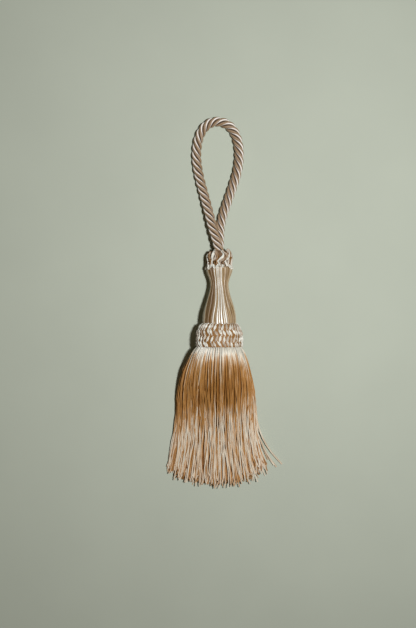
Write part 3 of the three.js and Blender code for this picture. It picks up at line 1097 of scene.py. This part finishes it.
def outline_grids(rows=178, shares=512):
    """The body's outline at even distances down the table, which come first, and at even shares of
    the way round it, and the body's sizes at those distances."""
    table = np.linspace(HEADING_DOWN, LAST_DOWN, rows)
    section = skirt_section(table)
    x, z = skirt_outline(section)
    gone = np.hypot(np.diff(x, axis=1), np.diff(z, axis=1))
    gone = np.concatenate([np.zeros((rows, 1)), np.cumsum(gone, axis=1)], axis=1)
    gone /= gone[:, -1:]
    even = np.linspace(0, 1, shares + 1)
    grid_x = np.array([np.interp(even, at, row) for at, row in zip(gone, x)])
    grid_z = np.array([np.interp(even, at, row) for at, row in zip(gone, z)])
    return table, grid_x, grid_z, section


def between(grid, down, share):
    """Values of a grid at distances down the table and shares of the way round."""
    row = (down - HEADING_DOWN) / (LAST_DOWN - HEADING_DOWN) * (len(grid) - 1)
    # Each place has a row after it, so it stays just short of the last one.
    row = np.clip(row, 0, len(grid) - 1.001)
    column = share % 1 * (grid.shape[1] - 1)
    above = row.astype(int)
    before = column.astype(int)
    on = column - before
    upper = grid[above, before] * (1 - on) + grid[above, before + 1] * on
    lower = grid[above + 1, before] * (1 - on) + grid[above + 1, before + 1] * on
    return upper + (lower - upper) * (row - above)


def waves(random, count, low, high, downs):
    """One wave down each thread, its length in mm drawn between the two given, from -1 to 1."""
    pace = FULL_TURN / random.uniform(low, high, (count, 1))
    return np.sin(downs * pace + random.uniform(0, FULL_TURN, (count, 1)))


def thread_downs(random, low_x, inset):
    """Distances in mm down the table of each thread's points, the last one at its cut end."""
    tips = TIPS_DOWN - SIDE_SHORTER * (np.abs(low_x) / SIDE_HALF_WIDTH) ** 2.5
    tips = tips + random.uniform(*TIPS_UNEVEN, len(low_x))
    tips = tips - RIGHT_SHORTER * rising(low_x, 0, RIGHT_HALF_WIDTH) ** 2
    tips = tips - DEEPER_SHORTER * inset
    return HEADING_DOWN + (tips[:, None] - HEADING_DOWN) * THREAD_PARTS


def body_points(outline, downs, shares, depth):
    """Right of centre and height of points that lie in the body by a depth in mm."""
    table, grid_x, grid_z, section = outline
    centre = np.interp(downs, table, (section["top"] + section["low"]) / 2)
    tall = np.interp(downs, table, section["top"] - section["low"])
    wide = np.interp(downs, table, section["left"] + section["right"])
    x = between(grid_x, downs, shares) * np.clip(1 - 2 * depth / wide, 0.05, 1)
    z = centre + (between(grid_z, downs, shares) - centre) * np.clip(1 - 2 * depth / tall, 0.05, 1)
    return x, z


def loosened(random, x, z, downs, lock, table):
    """The points moved by the waves of their lock and by those of their own thread."""
    count = len(x)
    lock_wave = waves(random, SKIRT_LOCKS, 24, 44, table[None])[lock]
    lock_wave = np.stack([np.interp(down, table, wave) for down, wave in zip(downs, lock_wave)])
    loose = rising(downs, 9, 31)
    z = z + WAVE_UP * (lock_wave + waves(random, count, 14, 26, downs)) * loose
    x = x + WAVE_ACROSS * waves(random, count, 12, 30, downs) * loose
    return x, z


def curled_and_splayed(random, x, z, downs, low_x, inset):
    """The points with the cut ends curled, and with the threads at the right swung out."""
    count = len(x)
    curl = (np.clip(THREAD_PARTS - (1 - CURLED_PART), 0, 1) / CURLED_PART) ** 2
    x = x + random.uniform(*CURL_ACROSS, (count, 1)) * curl
    splay = rising(low_x[:, None], -4, 20) * random.uniform(0, 1, (count, 1)) ** 1.7
    splay = splay * max(0, 1 - inset / SPLAY_DEPTH)
    x = x + SPLAY * splay * rising(downs, SPLAY_FROM, LOW_DOWN) ** 2
    z = z + random.uniform(*CURL_UP, (count, 1)) * curl
    return x, z


def thread_tones(random, x, downs):
    """How pale each thread is at each of its points: bands of painted highlight and shade, uneven
    from thread to thread.
    """
    count = len(x)
    uneven = random.uniform(-1, 1, (count, 1)) + 0.4 * waves(random, count, 20, 60, downs)
    painted_down = downs + random.uniform(-1, 1, (count, 1)) * np.interp(downs, EDGE_DOWNS, EDGE_SHIFTS)
    # Painted shade: the bands slant so that the left side stays darker further down.
    painted_down = painted_down + PAINTED_SHADE_SLANT * x * rising(downs, 20, 40)
    tone = np.interp(painted_down, TONE_DOWNS, TONE_LEVELS)
    tone = tone + uneven * np.interp(painted_down, TONE_DOWNS, TONE_SPREADS)
    return np.minimum(tone, np.interp(painted_down, PALEST_DOWNS, PALEST_LEVELS))


def skirt_threads(count, inset, seed, thickness, outline):
    """Middle lines of loose threads in one layer, in mm, and a tone for each of their points."""
    table, grid_x = outline[:2]
    random = seeded(seed)
    shuffle = random.uniform(-THREAD_SHUFFLE, THREAD_SHUFFLE, count)
    share = (np.arange(count) + shuffle) / count % 1
    depth = inset + random.uniform(0, LAYER_DEPTH, (count, 1))
    lock = np.floor(share * SKIRT_LOCKS).astype(int) % SKIRT_LOCKS
    hold = random.uniform(0, LOCK_HOLD, SKIRT_LOCKS)[lock]
    lock_middle = lock + 0.5 + random.uniform(-LOCK_SHUFFLE, LOCK_SHUFFLE, SKIRT_LOCKS)[lock]
    low_x = between(grid_x, np.full(count, LOW_DOWN), share)
    downs = thread_downs(random, low_x, inset)

    fall = rising(downs, 14, 84)
    gathered = (lock_middle / SKIRT_LOCKS - share) * hold
    drift = random.normal(0, LOCK_DRIFT, SKIRT_LOCKS)[lock]
    drift = drift + random.normal(0, DEEPER_DRIFT if inset else TOP_DRIFT, count)
    own = share[:, None] + gathered[:, None] * fall**0.8 + drift[:, None] * fall**1.6
    reach = random.uniform(0.15, 1, (count, 1)) + 2.4 * random.uniform(0, 1, (count, 1)) ** 6
    own = own + THREAD_WANDER * reach * waves(random, count, 90, 190, downs) * fall**1.3

    x, z = body_points(outline, downs, own, depth)
    x, z = loosened(random, x, z, downs, lock, table)
    x, z = curled_and_splayed(random, x, z, downs, low_x, inset)
    leaning = np.clip(1 - (downs - HEADING_DOWN) / LEANING_DOWN, 0, 1) ** 2
    y = leaning * math.tan(LEAN) * (z - COLLAR_HEIGHT) - downs
    lines = np.stack([x, y, np.maximum(z, thickness / 2)], axis=-1)
    return lines, thread_tones(random, x, downs)


def thread_tubes(lines, thickness, sides=4):
    """Rings round each thread's middle line, from the lines and each thread's thickness in mm."""
    forward = np.gradient(lines, axis=1)
    forward /= np.linalg.norm(forward, axis=2, keepdims=True)
    across = np.cross(forward, np.array([0, 0, 1.0]))
    across /= np.linalg.norm(across, axis=2, keepdims=True)
    over = np.cross(across, forward)
    angle = (np.arange(sides) + 0.5) / sides * FULL_TURN
    offset = np.sin(angle)[:, None] * across[:, :, None] + np.cos(angle)[:, None] * over[:, :, None]
    radius = np.interp(-lines[..., 1], SWELL_DOWNS, SWELL_LEVELS) * thickness[:, None] / 2
    return lines[:, :, None] + offset * radius[:, :, None, None]


def stray_lines(steps):
    """The threads that leave the skirt at its right, in mm."""
    return np.array([smooth_route(route, steps) for route in STRAY_ROUTES])


class TASSEL_OT_skirt(bpy.types.Operator):
    """Hangs layers of threads from the heading, gathered in locks and spread on the table"""

    bl_idname = "tassel.skirt"
    bl_label = "Skirt"

    def execute(self, context):
        sizes = context.scene.tassel_sizes
        colours = context.scene.tassel_colours
        thickness = sizes.thread_thickness / MM
        outline = outline_grids()
        finish = silk_finish(
            "loose silk",
            (colours.thread_dark, colours.thread, colours.thread_pale, colours.thread_painted_highlight),
            roughness=0.42,
            streak_scale=(3, 130, 1),
            relief_scale=(3, 700, 1),
            relief_depth=0.00003,
            gloss=1.39,
            dull=0.1,
        )
        for name, layers in SKIRT_LAYERS.items():
            lines, tones, widths = [], [], []
            for count, inset, seed, shade in layers:
                made, tone = skirt_threads(count, inset, seed, thickness, outline)
                lines.append(made)
                # Painted shade: each layer's tone is lowered by its shade, darker for the deeper
                # layers.
                tones.append(tone + shade * np.interp(-made[..., 1], SHADE_DOWNS, SHADE_SHARES))
                widths.append(np.full(count, thickness))
            if name == "skirt_outer_threads":
                strays = stray_lines(len(THREAD_PARTS))
                lines.append(strays)
                tones.append(np.full(strays.shape[:2], STRAY_TONE))
                widths.append(np.full(len(strays), thickness * STRAY_SWELL))
            lines = np.concatenate(lines)
            rings = thread_tubes(lines, np.concatenate(widths))
            count, steps, sides = rings.shape[:3]
            places = np.zeros((count, steps, sides, 2))
            places[..., 0] = np.arange(sides) / sides + np.arange(count)[:, None, None] * MAP_STEP
            places[..., 1] = -lines[:, :, None, 1] * MM
            tone = np.broadcast_to(np.concatenate(tones)[:, :, None], (count, steps, sides))
            piece = tube_piece(name, rings * MM, places, tone)
            dress(piece, finish, "skirt")
        return {"FINISHED"}


class TASSEL_PT_panel(bpy.types.Panel):
    bl_idname = "TASSEL_PT_panel"
    bl_label = "Key tassel"
    bl_space_type = "VIEW_3D"
    bl_region_type = "UI"
    bl_category = "Tassel"

    def draw(self, context):
        layout = self.layout
        for group in (context.scene.tassel_sizes, context.scene.tassel_colours):
            for key in group.bl_rna.properties.keys():
                if key not in ("rna_type", "name"):
                    layout.prop(group, key)
        for operator in OPERATORS:
            layout.operator(operator.bl_idname)


OPERATORS = (
    TASSEL_OT_stage,
    TASSEL_OT_loop,
    TASSEL_OT_crown,
    TASSEL_OT_head,
    TASSEL_OT_collar,
    TASSEL_OT_skirt,
)
CLASSES = (TasselSizes, TasselColours, *OPERATORS, TASSEL_PT_panel)


def register():
    for each in CLASSES:
        bpy.utils.register_class(each)
    bpy.types.Scene.tassel_sizes = PointerProperty(type=TasselSizes)
    bpy.types.Scene.tassel_colours = PointerProperty(type=TasselColours)


def unregister():
    del bpy.types.Scene.tassel_colours
    del bpy.types.Scene.tassel_sizes
    for each in reversed(CLASSES):
        bpy.utils.unregister_class(each)


def main():
    register()
    bpy.ops.tassel.stage()
    bpy.ops.tassel.loop()
    bpy.ops.tassel.crown()
    bpy.ops.tassel.head()
    bpy.ops.tassel.collar()
    bpy.ops.tassel.skirt()


if __name__ == "__main__":
    main()
